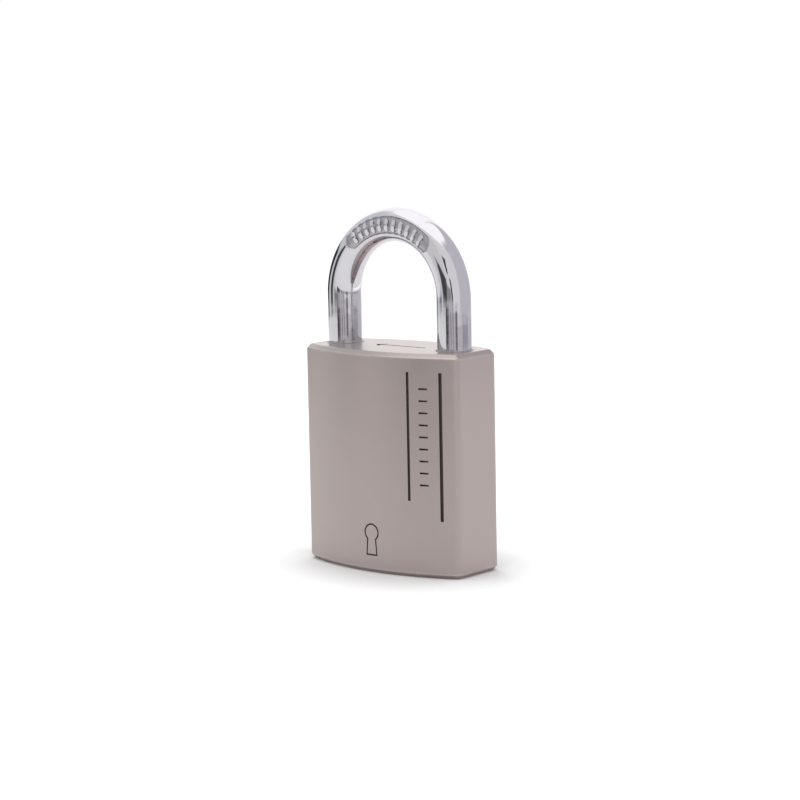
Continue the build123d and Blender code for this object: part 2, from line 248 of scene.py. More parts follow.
def add_light(name, turn, climb, distance, size, power):
    """A square soft light that faces the lock from that turn round it and climb above it. The
    cards stand for it in the metal."""
    lamp = bpy.data.lights.new(name, "AREA")
    lamp.size = size
    lamp.energy = power
    place = bpy.data.objects.new(name, lamp)
    turn, climb = math.radians(turn), math.radians(climb)
    way = Vector((
        math.sin(turn) * math.cos(climb), -math.cos(turn) * math.cos(climb), math.sin(climb)
    ))
    place.location = lamp_aim + way * distance
    place.rotation_mode = "QUATERNION"
    place.rotation_quaternion = way.to_track_quat("Z", "Y")
    place.visible_glossy = False
    bpy.context.scene.collection.objects.link(place)
    return place


add_light("overhead", 20, 80, 0.9, 0.7, 2.0)
add_light("back_left", -125, 38, 0.9, 0.5, 1.5)
add_light("right", 110, 30, 0.9, 0.5, 0.3)


card_level, card_columns, card_rows = 70.0, 41, 21


def add_card(name, distance, tone, soft, corners):
    """A curved card or screen that only the metal sees: part of a sphere round the shackle.
    Its corners are given as turn and climb in degrees, from bottom left anticlockwise, and
    the rest lies evenly between them. It fades out over the soft share of its width."""
    across, up = np.meshgrid(np.linspace(0, 1, card_columns), np.linspace(0, 1, card_rows))
    low_left, low_right, high_right, high_left = np.radians(np.asarray(corners, float))
    across, up = across[..., None], up[..., None]
    low = low_left * (1 - across) + low_right * across
    high = high_left * (1 - across) + high_right * across
    turn, climb = np.moveaxis(low * (1 - up) + high * up, -1, 0)
    points = distance * np.stack([
        np.sin(turn) * np.cos(climb), -np.cos(turn) * np.cos(climb), np.sin(climb)
    ], axis=-1) + (0, 0, card_level)
    index = np.arange(turn.size).reshape(turn.shape)
    faces = np.stack([index[:-1, :-1], index[:-1, 1:], index[1:, 1:], index[1:, :-1]], axis=-1)
    card = new_piece(name, points.reshape(-1, 3), faces.reshape(-1, 4).tolist())
    inside = np.minimum(across * (1 - across), up * (1 - up)) / max(soft, 0.001)
    cover = card.data.attributes.new("cover", "FLOAT", "POINT")
    cover.data.foreach_set("value", np.clip(inside, 0, 1).ravel())
    paint = bpy.data.materials.new(name)
    paint.cycles.emission_sampling = "NONE"

    def card_paint(place):
        cover = place.node("ShaderNodeAttribute", {"attribute_name": "cover"}).also("Fac")
        clear = place.node("ShaderNodeBsdfTransparent")
        lit = place.node("ShaderNodeEmission", None, {"Color": (*tone, 1)})
        return place.node("ShaderNodeMixShader", None, [cover, clear, lit])

    card.data.materials.append(shade(paint, "ShaderNodeTexCoord", "Object", card_paint))
    card.visible_camera = card.visible_diffuse = card.visible_shadow = False
    card.visible_transmission = False
    card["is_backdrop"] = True


def panel(left, right, low, high):
    """The corners of an upright card between two turns and two climbs."""
    return [(left, low), (right, low), (right, high), (left, high)]


for name, distance, tone, soft, corners in (
    ("ceiling", 900, (1.45, 1.44, 1.45), 0.0, panel(-180, 180, 54, 90)),
    ("window", 720, (1.35, 1.35, 1.36), 0.05, panel(-185, -92, -5.6, 60)),
    ("wall_left", 636, (0.78, 0.82, 0.84), 0.1, panel(-104, -40, -18, 52)),
    ("wall_front", 632, (0.82, 0.8, 0.82), 0.1, panel(-62, 22, -18, 50)),
    ("wall_middle", 630, (0.93, 0.92, 0.94), 0.1, panel(8, 84, -18, 50)),
    ("wall_right", 636, (0.7, 0.68, 0.74), 0.06, panel(62, 188, -18, 62)),
    ("rail_left", 560, (0.03, 0.03, 0.035), 0.1, [(-112, -7.3), (-84, -7.3), (-70, 8), (-102, 15)]),
    ("rail_middle", 620, (0.07, 0.07, 0.075), 0.1, [(-68, -6.6), (-44, -6.6), (-38, 1), (-60, 5)]),
    ("rail_front", 620, (0.08, 0.08, 0.085), 0.1, [(-36, -6.6), (-4, -6.6), (8, 7), (-18, 9)]),
    ("bench_front", 625, (0.36, 0.35, 0.37), 0.15, panel(-8, 28, -6.6, 4)),
    ("post", 615, (0.04, 0.04, 0.042), 0.1, [(28, -6.7), (38, -6.7), (33, 13), (24, 13)]),
    ("stand", 610, (0.08, 0.08, 0.085), 0.12, [(16, 13), (24, 13), (34, 33), (18, 31)]),
    ("box_1", 470, (0.07, 0.065, 0.07), 0.05, panel(-14, 1, -8.6, -6.15)),
    ("box_2", 470, (0.24, 0.22, 0.25), 0.05, panel(0, 9, -8.6, -6.15)),
    ("box_3", 475, (0.56, 0.53, 0.57), 0.02, panel(8, 50, -8.6, -6.15)),
    ("box_4", 465, (0.18, 0.16, 0.18), 0.05, panel(18, 22, -8.6, -6.15)),
    ("box_5", 465, (0.18, 0.16, 0.18), 0.05, panel(33, 36, -8.6, -6.15)),
    ("box_6", 470, (0.18, 0.17, 0.19), 0.05, panel(49, 62, -8.6, -5.8)),
    ("box_7", 470, (0.62, 0.58, 0.63), 0.05, panel(61, 90, -8.6, -6.6)),
    ("box_8", 470, (0.42, 0.4, 0.45), 0.1, panel(88, 140, -8.6, -6.4)),
    ("box_9", 475, (0.64, 0.61, 0.68), 0.15, panel(130, 186, -8.6, -6.4)),
    ("sheet", 300, (1.9, 1.84, 1.9), 0.2, panel(95, 185, -34, -9)),
):
    add_card(name, distance, tone, soft, corners)

# ---------------------------------------------------------------- body
# One block of steel with crowned faces, milled and bored, then blasted and plated in satin
# nickel. The rules, dashes, arrow and keyhole outline are cut after plating and filled dark.
body_width, body_depth, side_depth, body_height = 50.0, 26.5, 15.4, 56.0
corner_radius, edge_chamfer, edge_softness = 2.2, 1.1, 0.3
leg_hole_radius, mouth_chamfer = 4.7, 0.35
leg_x = 18.0
toe_hole_floor, heel_hole_floor = 41.2, 4.5
rotor_bore_radius, rotor_bore_top = 8.65, 52.7
bible_slot_width, bible_slot_depth, bible_slot_top = 8.04, 10.97, 30.42
cross_bore_radius, cross_bore_level = 3.6, 47.5
bore_mouth = 0.2
pin_hole_radius = 1.27
pin_holes = [("shackle_pin_hole", 14.35, 40.15, 5.9), ("cylinder_pin_hole", -8.6, 21.4, 5.5)]
mark_depth = 0.3
overshoot = 1.0  # how far a cutter runs past the surface that it cuts
sharp_cut = math.radians(30)


def rounded(corners, radius, steps):
    """Each inner corner of a line gives way to an arc of that radius, tangent to both sides:
    it starts radius * tan(half the turn) before the corner and bends evenly into the next.
    The third column is the line's heading, in radians anticlockwise from its first axis."""
    corners = np.asarray(corners, float)
    first = corners[1] - corners[0]
    heading = math.atan2(first[1], first[0])
    points = [np.array([[*corners[0], heading]])]
    for before, here, after in zip(corners, corners[1:], corners[2:]):
        come, go = here - before, after - here
        come, go = come / np.linalg.norm(come), go / np.linalg.norm(go)
        turn = math.atan2(come[0] * go[1] - come[1] * go[0], come @ go)
        reach = radius * math.tan(abs(turn) / 2)
        share = np.linspace(0, 1, steps + 1)[:, None] * turn
        side = np.array([-come[1], come[0]]) * np.sign(turn)
        bend = come * np.sin(abs(share)) + side * (1 - np.cos(share))
        arc = here - come * reach + radius * bend
        points.append(np.concatenate([arc, heading + share], axis=1))
        heading += turn
    points.append(np.array([[*corners[-1], heading]]))
    return np.concatenate(points)


def spread(line, longest):
    """The same line with points added, so that no step between two of them is longer."""
    steps = np.hypot(*np.diff(line[:, :2], axis=0).T)
    counts = np.maximum(1, np.ceil(steps / longest)).astype(int)
    start = np.repeat(np.arange(len(steps)), counts)
    share = np.concatenate([np.arange(n) / n for n in counts])[:, None]
    added = line[start] * (1 - share) + line[start + 1] * share
    return np.concatenate([added, line[-1:]])


def loft(name, rings, joined=False):
    """A skin over rings of points, given as an array of rings by points by 3. Neighbours in a
    ring and in two rings next to each other make a face. The ends are capped, or joined."""
    rows, columns = rings.shape[:2]
    index = np.arange(rows * columns).reshape(rows, columns)
    here, after = index, np.roll(index, -1, axis=0)
    if not joined:
        here, after = here[:-1], after[:-1]
    faces = np.stack(
        [here, np.roll(here, -1, axis=1), np.roll(after, -1, axis=1), after], axis=-1
    ).reshape(-1, 4).tolist()
    if not joined:
        faces += [index[0, ::-1].tolist(), index[-1].tolist()]
    return new_piece(name, rings.reshape(-1, 3), faces)


def crown_sizes():
    """The crown's radius, the middle of a corner's arc as distances from the body's middle,
    and the turn at which the crown meets that arc."""
    rise = (body_depth - side_depth) / 2
    crown = ((body_width / 2) ** 2 + rise**2) / (2 * rise)
    corner_x = body_width / 2 - corner_radius
    meet = math.asin(corner_x / (crown - corner_radius))
    corner_y = (crown - corner_radius) * math.cos(meet) - crown + body_depth / 2
    return crown, corner_x, corner_y, meet


def crown_y(x):
    """How far the crowned face stands from the middle plane at x."""
    crown = crown_sizes()[0]
    return math.sqrt(crown**2 - x**2) - crown + body_depth / 2


def body_outline():
    """The body's outline seen from above as places and outward directions. A quarter runs
    along the crown's arc, round the corner's arc and down the flat side, and is mirrored."""
    crown, corner_x, corner_y, meet = crown_sizes()
    crown_turn = np.linspace(0, meet, 60, endpoint=False)
    corner_turn = np.linspace(meet, math.pi / 2, 11)
    side_y = np.linspace(-corner_y, 0, 12)[1:]
    turn = np.concatenate([crown_turn, corner_turn, np.full(len(side_y), math.pi / 2)])
    away = np.stack([np.sin(turn), -np.cos(turn)], axis=1)
    place = np.concatenate([
        crown * away[: len(crown_turn)] + (0, crown - body_depth / 2),
        corner_radius * away[len(crown_turn) : -len(side_y)] + (corner_x, -corner_y),
        np.stack([np.full(len(side_y), body_width / 2), side_y], axis=1),
    ])
    quarter = np.stack([place, away])
    half = np.concatenate([quarter, quarter[:, -2::-1] * (1, -1)], axis=1)
    return np.concatenate([half, half[:, -2:0:-1] * (-1, 1)], axis=1)


inner = edge_chamfer + edge_softness / 2
edge_line = rounded(
    [
        (-inner, 0),
        (-edge_chamfer, 0),
        (0, edge_chamfer),
        (0, body_height - edge_chamfer),
        (-edge_chamfer, body_height),
        (-inner, body_height),
    ],
    edge_softness,
    4,
)


def body_skin():
    """The outline carried up the body: at each height it is drawn in by the edge's profile,
    which leans in by the chamfer at the base and at the top, with softened corners."""
    profile = spread(edge_line, 2.0)
    place, away = body_outline()
    flat = place[None] + away[None] * profile[:, None, :1]
    level = np.broadcast_to(profile[:, None, 1:2], flat.shape[:2] + (1,))
    return loft("padlock_body", np.concatenate([flat, level], axis=2))


def set_skin_normals(piece):
    """Gives the corners of the body's outer faces the true directions of its surface, so the
    cuts leave no trace in the shading round them. Seen from above the direction turns with the
    crown's arc, then with the corner's arc; its tilt follows the edge's profile by height."""
    mesh = piece.data
    vertex = np.empty(len(mesh.loops), int)
    mesh.loops.foreach_get("vertex_index", vertex)
    place = np.empty(len(mesh.vertices) * 3)
    mesh.vertices.foreach_get("co", place)
    place = place.reshape(-1, 3)[vertex] / MM
    normal = np.empty(len(mesh.loops) * 3)
    mesh.corner_normals.foreach_get("vector", normal)
    normal = normal.reshape(-1, 3)
    finish_index, corners = (np.empty(len(mesh.polygons), int) for _ in range(2))
    mesh.polygons.foreach_get("material_index", finish_index)
    mesh.polygons.foreach_get("loop_total", corners)
    outer = np.repeat(finish_index == 0, corners)

    crown, corner_x, corner_y, meet = crown_sizes()
    x, y = abs(place[:, 0]), abs(place[:, 1])
    turn = np.arctan2(x, y + crown - body_depth / 2)
    round_corner = np.clip(np.arctan2(x - corner_x, y - corner_y), meet, math.pi / 2)
    turn = np.where(turn < meet, turn, round_corner)
    levels, first = np.unique(np.round(edge_line[:, 1], 5), return_index=True)
    tilt = np.interp(place[:, 2], levels, edge_line[first, 2] - math.pi / 2)
    true = np.stack([
        np.sin(turn) * np.cos(tilt) * np.sign(place[:, 0]),
        np.cos(turn) * np.cos(tilt) * np.sign(place[:, 1]),
        np.sin(tilt),
    ], axis=1)
    flat_end = abs(place[:, 2] - body_height / 2) > body_height / 2 - 0.001
    true[flat_end] = np.stack([
        np.zeros(flat_end.sum()), np.zeros(flat_end.sum()),
        np.sign(place[flat_end, 2] - body_height / 2),
    ], axis=1)
    normal[outer] = true[outer]
    mesh.normals_split_custom_set(normal.tolist())


def prism(name, outline, low, high, along="z"):
    """The outline's points carried straight from low to high along z, or along y for a shape
    drawn on the front, where x and z are the outline's two directions."""
    outline = np.asarray(outline, float)
    ends = []
    for level in (low, high):
        third = np.full(len(outline), level)
        if along == "z":
            ends.append(np.stack([outline[:, 0], outline[:, 1], third], axis=1))
        else:
            ends.append(np.stack([outline[:, 0], -third, outline[:, 1]], axis=1))
    return loft(name, np.stack(ends))


def turned(name, profile, centre, direction, steps=96):
    """A turned shape: each (distance along, radius) of the profile is a ring round the line
    through centre in that direction."""
    profile = np.asarray(profile, float)
    along = np.asarray(direction, float)
    side = np.cross(along, (0.0, 1.0, 0.0) if abs(along[1]) < 0.9 else (1.0, 0.0, 0.0))
    side = side / np.linalg.norm(side)
    other = np.cross(along, side)
    turn = np.linspace(0, 2 * math.pi, steps, endpoint=False)
    spoke = np.cos(turn)[:, None] * side + np.sin(turn)[:, None] * other
    rings = profile[:, 1, None, None] * spoke[None] + profile[:, 0, None, None] * along
    return loft(name, rings + np.asarray(centre, float))


def box_outline(low_x, low_y, high_x, high_y):
    """The four corners of a rectangle, anticlockwise."""
    return [(low_x, low_y), (high_x, low_y), (high_x, high_y), (low_x, high_y)]


def keyhole_edge(grow):
    """The edge of a keyhole grown all round: the ring's arc from where the right side of the
    foot leaves it, over the top, to the left side, then straight down and across the foot."""
    ring, foot, height = 1.9, 2.8, 7.4
    ring_z, foot_z = height / 2 - ring, -height / 2 - grow
    radius = ring + grow
    top_x, foot_x = ring / 2 + grow, foot / 2 + grow
    drop, flare = ring_z - foot_z, foot_x - top_x
    square, middle, rest = flare**2 + drop**2, top_x * flare, top_x**2 - radius**2
    share = (-middle + math.sqrt(middle**2 - square * rest)) / square
    leave = math.atan2(-drop * share, top_x + flare * share)
    turn = np.linspace(leave, math.pi - leave, 49)
    arc = np.stack([np.cos(turn), np.sin(turn)], axis=1) * radius + (0, ring_z)
    return np.concatenate([arc, [(-foot_x, foot_z), (foot_x, foot_z)]])


def cut(piece, cutters):
    """Takes the cutters' shapes out of the piece, each leaving its own finish on the cut, and
    removes them. The piece's edges are then sharp where its faces turn by over 30 degrees."""
    for cutter in cutters:
        step = piece.modifiers.new(cutter.name, "BOOLEAN")
        step.operation, step.solver, step.object = "DIFFERENCE", "EXACT", cutter
        step.material_mode = "TRANSFER"
    settle(piece)
    for cutter in cutters:
        bpy.data.objects.remove(cutter)


def settle(piece):
    """Makes the piece's modifiers part of its mesh."""
    bpy.context.view_layer.update()
    graph = bpy.context.evaluated_depsgraph_get()
    made = bpy.data.meshes.new_from_object(
        piece.evaluated_get(graph), preserve_all_data_layers=True, depsgraph=graph
    )
    piece.modifiers.clear()
    piece.data = made
    made.polygons.foreach_set("use_smooth", np.ones(len(made.polygons), bool))
    made.set_sharp_from_angle(angle=sharp_cut)


def principled(place, **values):
    """The Principled shader with those sockets set. An underline stands for a space."""
    named = {name.replace("_", " "): value for name, value in values.items()}
    return place.node("ShaderNodeBsdfPrincipled", None, named)


def noise(place, scale, detail=2.0, roughness=0.5):
    """Noise of 0 to 1 with scale cells to the metre."""
    values = {"Vector": place, "Scale": scale, "Detail": detail, "Roughness": roughness}
    return place.node("ShaderNodeTexNoise", None, values)


def satin_nickel(place):
    """Blasted and plated metal: a fine grain and a slight swell in the bump, slow clouds in
    colour and gloss. Along the chamfers' edges a painted highlight lightens the colour, and
    the edges are rubbed a little smoother."""
    cloud = noise(place, 70, 3)
    grain = noise(place, 2600, 2)
    swell = noise(place, 150, 2)
    level = place.node("ShaderNodeSeparateXYZ", None, [place], out=2)
    half = body_height * MM / 2
    to_end = level.math("ABSOLUTE", level - half)
    to_edge = level.math("ABSOLUTE", to_end - (half - edge_chamfer * MM))
    near = 1 - to_edge * 2500
    # A band along the chamfers' edges: its lighter colour is a painted highlight, its lower
    # roughness is real rubbing.
    rubbed_and_highlit = level.math("MAXIMUM", near, 0.0) * noise(place, 400, 3)
    tone = cloud.blend((0.418, 0.361, 0.348, 1), (0.448, 0.386, 0.372, 1))
    colour = rubbed_and_highlit.blend(tone, (0.62, 0.57, 0.55, 1))
    bump = place.node("ShaderNodeBump", None, {
        "Strength": 0.3, "Distance": 0.00004, "Height": grain + swell * 2.5,
    })
    return principled(
        place,
        Base_Color=colour,
        Metallic=1.0,
        Roughness=0.29 + cloud * 0.05 + grain * 0.04 - rubbed_and_highlit * 0.1,
        Normal=bump,
    )


def bored_nickel(place):
    """The plated walls of the bores, which keep the fine rings that the tools left."""
    rings = place.node("ShaderNodeTexWave", {
        "bands_direction": "Z", "wave_profile": "SIN"
    }, {"Vector": place, "Scale": 900.0, "Distortion": 1.5, "Detail": 2.0})
    stain = noise(place, 240, 3)
    bump = place.node(
        "ShaderNodeBump", None, {"Strength": 0.35, "Distance": 0.00003, "Height": rings}
    )
    return principled(
        place,
        Base_Color=stain.blend((0.36, 0.32, 0.3, 1), (0.44, 0.4, 0.38, 1)),
        Metallic=1.0,
        Roughness=0.3 + stain * 0.12,
        Normal=bump,
    )


def dark_fill(place):
    """The dark stoving paint at the bottom of the cut marks, thin and slightly uneven."""
    patch = noise(place, 1800, 2)
    colour = patch.blend((0.03, 0.022, 0.02, 1), (0.06, 0.045, 0.04, 1))
    return principled(place, Base_Color=colour, Roughness=0.55 + patch * 0.2)


def finish(name, make):
    """A material on Object coordinates, filled by make."""
    return shade(bpy.data.materials.new(name), "ShaderNodeTexCoord", "Object", make)


nickel = finish("satin_nickel", satin_nickel)
bored = finish("bored_nickel", bored_nickel)
fill = finish("dark_fill", dark_fill)

body = body_skin()
body.data.materials.append(nickel)
bores = [
    turned(
        name,
        [
            (floor_z, leg_hole_radius),
            (body_height - mouth_chamfer, leg_hole_radius),
            (body_height, leg_hole_radius + mouth_chamfer),
            (body_height + overshoot, leg_hole_radius + mouth_chamfer + overshoot),
        ],
        (x, 0, 0),
        (0, 0, 1),
    )
    for name, x, floor_z in (
        ("toe_hole", -leg_x, toe_hole_floor),
        ("heel_hole", leg_x, heel_hole_floor),
    )
]
rotor_mouth = [
    (-overshoot, rotor_bore_radius + overshoot + bore_mouth),
    (bore_mouth, rotor_bore_radius),
    (rotor_bore_top, rotor_bore_radius),
]
half_slot = bible_slot_width / 2
slot_edge = box_outline(-half_slot, 0, half_slot, bible_slot_depth)
bores += [
    turned("rotor_bore", rotor_mouth, (0, 0, 0), (0, 0, 1)),
    prism("bible_slot", slot_edge, -overshoot, bible_slot_top),
    turned(
        "cross_bore",
        [(-body_width / 2 - overshoot, cross_bore_radius), (leg_x, cross_bore_radius)],
        (0, 0, cross_bore_level),
        (1, 0, 0),
    ),
]
for name, x, level, foot in pin_holes:
    bores.append(turned(
        name,
        [(-foot, pin_hole_radius), (body_depth / 2 + overshoot, pin_hole_radius)],
        (x, 0, level),
        (0, 1, 0),
    ))
for bore in bores:
    bore.data.materials.append(bored)

rule_top = 51.5
dash_x, dash_middle, dash_count, dash_pitch = 16.7, 35.4, 9, 3.0
dash_length, dash_width = 2.6, 0.45


def front_bar(name, x, width, low, high):
    """A straight mark on the front: a rectangle round x from low to high, carried outwards
    from the bottom of the cut."""
    edge = box_outline(x - width / 2, low, x + width / 2, high)
    return prism(name, edge, crown_y(x) - mark_depth, crown_y(x) + overshoot, "y")


marks = [
    front_bar("thin_rule", 12.5, 0.7, rule_top - 32.2, rule_top),
    front_bar("thick_rule", 20.9, 0.8, rule_top - 37.0, rule_top),
]
for i in range(dash_count):
    level = dash_middle + (i - (dash_count - 1) / 2) * dash_pitch
    low, high = level - dash_width / 2, level + dash_width / 2
    marks.append(front_bar(f"dash_{i + 1}", dash_x, dash_length, low, high))
emblem_x, emblem_level, emblem_line = 1.0, 8.5, 0.4
inside = keyhole_edge(0) + (emblem_x, emblem_level)
outside = keyhole_edge(emblem_line) + (emblem_x, emblem_level)
near, far = crown_y(emblem_x) - mark_depth, crown_y(emblem_x) + overshoot
band = [
    np.stack([edge[:, 0], np.full(len(edge), -level), edge[:, 1]], axis=1)
    for edge, level in ((inside, near), (outside, near), (outside, far), (inside, far))
]
marks.append(loft("keyhole_line", np.stack(band), joined=True))

arrow_half, arrow_tip, arrow_tail, arrow_head = 0.35, -7.0, 8.8, 1.8
slant = arrow_half * math.sqrt(2)
arrow_edge = [
    (arrow_tip - slant, 0),
    (arrow_tip + arrow_head - slant / 2, -arrow_head - slant / 2),
    (arrow_tip + arrow_head + slant / 2, -arrow_head + slant / 2),
    (arrow_tip + slant + arrow_half, -arrow_half),
    (arrow_tail, -arrow_half),
    (arrow_tail, arrow_half),
    (arrow_tip + slant + arrow_half, arrow_half),
    (arrow_tip + arrow_head + slant / 2, arrow_head - slant / 2),
    (arrow_tip + arrow_head - slant / 2, arrow_head + slant / 2),
]
marks.append(prism("arrow", arrow_edge, body_height - mark_depth, body_height + overshoot))
for mark in marks:
    mark.data.materials.append(fill)
cut(body, bores + marks)
set_skin_normals(body)
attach(body, "lock_body")
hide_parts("body")

# ---------------------------------------------------------------- shackle
# A hardened round bar, bent to a bow and chromed bright. A panel is sunk into the front of the
# bow with plain ribs left standing in it. The legs have a notch for a ball each, and the heel
# leg a long neck above its end collar.
bar_radius, bow_radius, spring_line = 4.4, 18.0, 68.8
toe_end, heel_end = 41.5, 19.1
neck_radius, collar_top, neck_top = 2.1, 22.1, 41.7
notch_radius, notch_centre, notch_level = 3.8, 12.1, 47.5
leg_end_chamfer, bar_edge_softness = 0.8, 0.2
panel_sweep, panel_width, panel_sink = math.radians(80), 4.4, 0.45
rib_count, rib_width, rib_length = 11, 1.1, 3.4
panel_edge_softness = 0.12
tip_radius = 0.01  # of the last ring at a closed end
panel_reach, panel_step, notch_reach, notch_step = 16.5, 0.1, 4.2, 0.2
front_low, front_high, far_off = -125, -55, 99.0
sharp_bar = math.radians(50)


def bar_line(way):
    """Where the bar's middle is that far along from the heel end, and its outward direction:
    up the heel leg, round the bow's half circle and down the toe leg."""
    rise = spring_line - heel_end
    turn = np.clip((way - rise) / bow_radius, 0, math.pi)
    outward = np.stack([np.cos(turn), np.zeros_like(turn), np.sin(turn)], axis=-1)
    below = np.minimum(way - rise, 0) - np.maximum(way - rise - math.pi * bow_radius, 0)
    middle = bow_radius * outward
    middle[..., 2] += spring_line + below
    return middle, outward


def panel_depth(x, z):
    """How deep the panel is sunk at a point of the bow's front view: a band of even width
    round the bow's arc with round ends, less the round-ended ribs that point to its centre.
    Each edge slopes over a short distance."""
    turn = np.arctan2(x, z)
    inside = np.clip(turn, -panel_sweep / 2, panel_sweep / 2)
    to_line = np.hypot(x - bow_radius * np.sin(inside), z - bow_radius * np.cos(inside))
    slot = to_line - panel_width / 2
    step = panel_sweep / rib_count
    nearest = np.clip(np.floor(turn / step + rib_count / 2), 0, rib_count - 1)
    rib_turn = (nearest + 0.5 - rib_count / 2) * step
    outward = x * np.sin(rib_turn) + z * np.cos(rib_turn) - bow_radius
    across = x * np.cos(rib_turn) - z * np.sin(rib_turn)
    over = np.maximum(abs(outward) - (rib_length - rib_width) / 2, 0)
    rib = np.hypot(over, across) - rib_width / 2
    ease = [np.clip(0.5 - d / panel_edge_softness, 0, 1) for d in (slot, -rib)]
    ease = [e * e * (3 - 2 * e) for e in ease]
    return panel_sink * ease[0] * ease[1]


def shackle_skin():
    """Rings carried along the bar. The bar's profile, distance along by radius, gives the
    ends, the collar and the neck. From the radius the panel's depth is taken on the front,
    and on the inner side no ring reaches into the ball that the notch is cut for."""
    rise = spring_line - heel_end
    full = rise + math.pi * bow_radius + spring_line - toe_end
    end_radius = bar_radius - leg_end_chamfer
    profile = rounded(
        [
            (0, tip_radius),
            (0, end_radius),
            (leg_end_chamfer, bar_radius),
            (collar_top - heel_end, bar_radius),
            (collar_top - heel_end, neck_radius),
            (neck_top - heel_end, neck_radius),
            (neck_top - heel_end, bar_radius),
            (full - leg_end_chamfer, bar_radius),
            (full, end_radius),
            (full, tip_radius),
        ],
        bar_edge_softness,
        4,
    )
    profile = spread(profile, 0.8)
    way, radius = profile.T[:2]
    half_bow = rise + math.pi * bow_radius / 2
    fine = [(half_bow - panel_reach, half_bow + panel_reach, panel_step)]
    for level in (notch_level - heel_end, full - (notch_level - toe_end)):
        fine.append((level - notch_reach, level + notch_reach, notch_step))
    keep = np.ones(len(way), bool)
    for low, high, step in fine:
        keep &= (way < low) | (way > high)
    added = np.concatenate([np.arange(low, high, step) for low, high, step in fine])
    way = np.concatenate([way[keep], added])
    radius = np.concatenate([radius[keep], np.full(len(added), bar_radius)])
    order = np.argsort(np.round(way, 6), kind="stable")
    way, radius = way[order], radius[order]

    front = np.radians(np.linspace(front_low, front_high, 57))
    rest = np.radians(np.linspace(front_high, front_low + 360, 86))[1:-1]
    turn = np.concatenate([front, rest])
    middle, outward = bar_line(way)
    across = np.array([0.0, 1.0, 0.0])
    spoke = np.cos(turn)[None, :, None] * outward[:, None] + np.sin(turn)[None, :, None] * across
    reach = np.broadcast_to(radius[:, None], spoke.shape[:2]).copy()

    skin = middle[:, None] + spoke * bar_radius
    depth = panel_depth(skin[..., 0], skin[..., 2] - spring_line)
    depth = np.where(np.sin(turn) < 0, depth, 0)
    reach -= depth

    on_leg = middle[:, 2] < spring_line
    height = np.where(on_leg, middle[:, 2] - notch_level, far_off)[:, None]
    offset = bow_radius - notch_centre
    inward = -np.cos(turn)[None]
    square = notch_radius**2 - height**2 - (offset * np.sin(turn)[None]) ** 2
    hit = (square > 0) & (inward > 0)
    notch = offset * inward - np.sqrt(np.maximum(square, 0))
    reach = np.where(hit, np.minimum(reach, notch), reach)
    piece = loft("padlock_shackle", middle[:, None] + spoke * reach[..., None])
    sunk = piece.data.attributes.new("sunk", "FLOAT", "POINT")
    sunk.data.foreach_set("value", (depth / panel_sink).ravel())
    return piece


def chrome(place):
    """Bright chrome over polished steel: nearly a mirror, with faint long ripples. The floor
    of the panel, which no polishing wheel reaches, keeps the grain of the stamping and is
    rougher; its darker colour is painted shade in the recess."""
    ripple = noise(place, 260, 1)
    haze = noise(place, 700, 3)
    grain = noise(place, 3500, 2)
    sunk = place.node("ShaderNodeAttribute", {"attribute_name": "sunk"}).also("Fac")
    bump = place.node("ShaderNodeBump", None, {
        "Strength": 0.05, "Distance": 0.0004, "Height": ripple + sunk * grain * 0.6,
    })
    bright = haze.blend((0.62, 0.61, 0.64, 1), (0.66, 0.65, 0.68, 1))
    return principled(
        place,
        # The panel's floor gets a darker colour: painted shade in the recess.
        Base_Color=sunk.blend(bright, (0.42, 0.41, 0.43, 1)),
        Metallic=1.0,
        Roughness=0.04 + haze * 0.04 + sunk * 0.28,
        Normal=bump,
    )


chrome_plate = finish("chrome_plate", chrome)
shackle = shackle_skin()
shackle.data.materials.append(chrome_plate)
shackle.data.set_sharp_from_angle(angle=sharp_bar)
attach(shackle, "shackle_bar")
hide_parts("shackle")

# ---------------------------------------------------------------- lift spring
# Spring steel wire wound to six turns. It stands on the floor of the heel hole and pushes the
# heel leg up.
spring_wire, spring_turns, spring_play = 0.45, 6, 0.1
coil_radius = neck_radius + spring_wire
coil_steps, wire_sides = 28, 12


def coil(name, wire, radius, turns, start, axis, rise):
    """A round wire on a helix: the middle of the wire turns evenly at that radius while it
    climbs along the axis, and each ring of the wire stands square to that line."""
    share = np.linspace(0, 1, coil_steps * turns + 1)
    angle = 2 * math.pi * turns * share
    up = np.asarray(axis, float)
    side = np.cross(up, (0.0, 1.0, 0.0) if up[2] else (0.0, 0.0, 1.0))
    other = np.cross(up, side)
    spoke = np.cos(angle)[:, None] * side + np.sin(angle)[:, None] * other
    along = np.cos(angle)[:, None] * other - np.sin(angle)[:, None] * side
    middle = np.asarray(start, float) + radius * spoke + rise * share[:, None] * up
    ahead = along * radius * 2 * math.pi * turns + rise * up
    ahead /= np.linalg.norm(ahead, axis=1, keepdims=True)
    square = np.cross(ahead, spoke)
    turn = np.linspace(0, 2 * math.pi, wire_sides, endpoint=False)[None, :, None]
    rings = middle[:, None] + wire * (
        np.cos(turn) * spoke[:, None] - np.sin(turn) * square[:, None]
    )
    return loft(name, rings)


def drawn_steel(place):
    """Spring steel as it comes from the die: dark grey, with faint straw patches of heat."""
    patch = noise(place, 420, 3)
    scale = noise(place, 2600, 2)
    bump = place.node(
        "ShaderNodeBump", None, {"Strength": 0.25, "Distance": 0.00003, "Height": scale}
    )
    return principled(
        place,
        Base_Color=patch.blend((0.2, 0.2, 0.21, 1), (0.3, 0.27, 0.22, 1)),
        Metallic=1.0,
        Roughness=0.3 + scale * 0.15,
        Normal=bump,
    )


